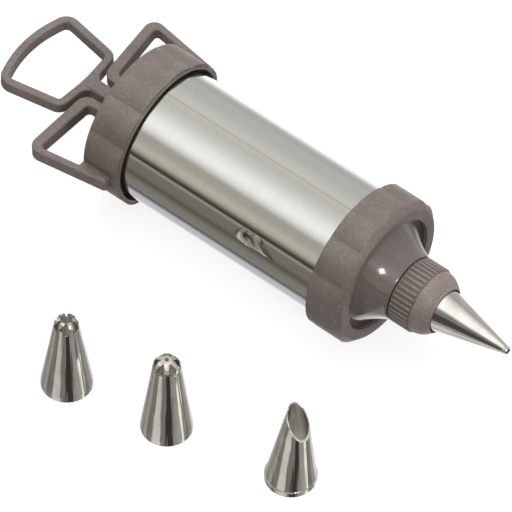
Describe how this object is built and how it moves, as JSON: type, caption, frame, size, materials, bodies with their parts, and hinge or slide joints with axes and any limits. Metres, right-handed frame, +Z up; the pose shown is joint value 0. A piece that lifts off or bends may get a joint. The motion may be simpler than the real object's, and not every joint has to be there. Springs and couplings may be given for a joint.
{
  "type": "pastry syringe",
  "caption": "Plunger syringe for icing and dough: steel barrel, lobed screw caps, finger loops, thumb ring, funnel with nozzle nut, and spare nozzles.",
  "frame": {"origin": "on the table, under the middle of the box round the syringe and its spare nozzles", "axes": "+X along the syringe from thumb ring to nozzle tip, +Z up from the table, thumb ring lies flat in XY"},
  "size_m": [0.2126, 0.1315, 0.055],
  "materials": {
    "grey_plastic": "satin moulded, fine texture",
    "gloss_grey_plastic": "glossy moulded",
    "steel": "rolled sheet, fine brushing along the tube",
    "polished_steel": "polished stainless sheet",
    "silicone": "matte translucent white silicone"
  },
  "bodies": {
    "barrel": {"barrel_tube": "steel", "barrel_rear_ring": "grey_plastic", "barrel_front_ring": "grey_plastic"},
    "cap": {"rear_cap": "grey_plastic"},
    "plunger": {"plunger": "grey_plastic", "piston_back_disc": "grey_plastic", "piston_seal": "silicone", "piston_front_disc": "grey_plastic", "piston_washer": "polished_steel", "piston_screw": "polished_steel"},
    "funnel": {"funnel": "gloss_grey_plastic", "funnel_gasket": "silicone"},
    "collar": {"front_collar": "grey_plastic"},
    "nozzle": {"round_nozzle": "polished_steel"},
    "nut": {"nozzle_nut": "grey_plastic"},
    "star": {"star_nozzle": "polished_steel"},
    "rosette": {"rosette_nozzle": "polished_steel"},
    "leaf": {"leaf_nozzle": "polished_steel"}
  },
  "joints": [
    {"name": "cap_twist", "type": "hinge", "parent": "barrel", "child": "cap", "pos_m": [-0.0577, 0.03135, 0.02749], "axis": [-1, 0, 0], "range_deg": [0, 60]},
    {"name": "plunger_slide", "type": "slide", "parent": "cap", "child": "plunger", "axis": [-1, 0, 0], "range_m": [0, 0.089]},
    {"name": "funnel_slide", "type": "slide", "parent": "barrel", "child": "funnel", "axis": [1, 0, 0], "range_m": [0, 0.0092]},
    {"name": "collar_turn", "type": "hinge", "parent": "funnel", "child": "collar", "pos_m": [0.0547, 0.03135, 0.02749], "axis": [1, 0, 0], "range_deg": [0, 1080]},
    {"name": "nozzle_slide", "type": "slide", "parent": "funnel", "child": "nozzle", "axis": [1, 0, 0], "range_m": [0, 0.0082]},
    {"name": "nut_turn", "type": "hinge", "parent": "nozzle", "child": "nut", "pos_m": [0.0791, 0.03135, 0.02749], "axis": [1, 0, 0], "range_deg": [0, 1440]},
    {"name": "star_lift", "type": "slide", "parent": "barrel", "child": "star", "axis": [0, 0, 1], "range_m": [0, 0.06]},
    {"name": "rosette_lift", "type": "slide", "parent": "barrel", "child": "rosette", "axis": [0, 0, 1], "range_m": [0, 0.06]},
    {"name": "leaf_lift", "type": "slide", "parent": "barrel", "child": "leaf", "axis": [0, 0, 1], "range_m": [0, 0.06]}
  ],
  "couplings": [
    {"joint": "funnel_slide", "follows": "collar_turn", "m_per_rad": 0.00047746},
    {"joint": "nozzle_slide", "follows": "nut_turn", "m_per_rad": 0.00031831}
  ]
}
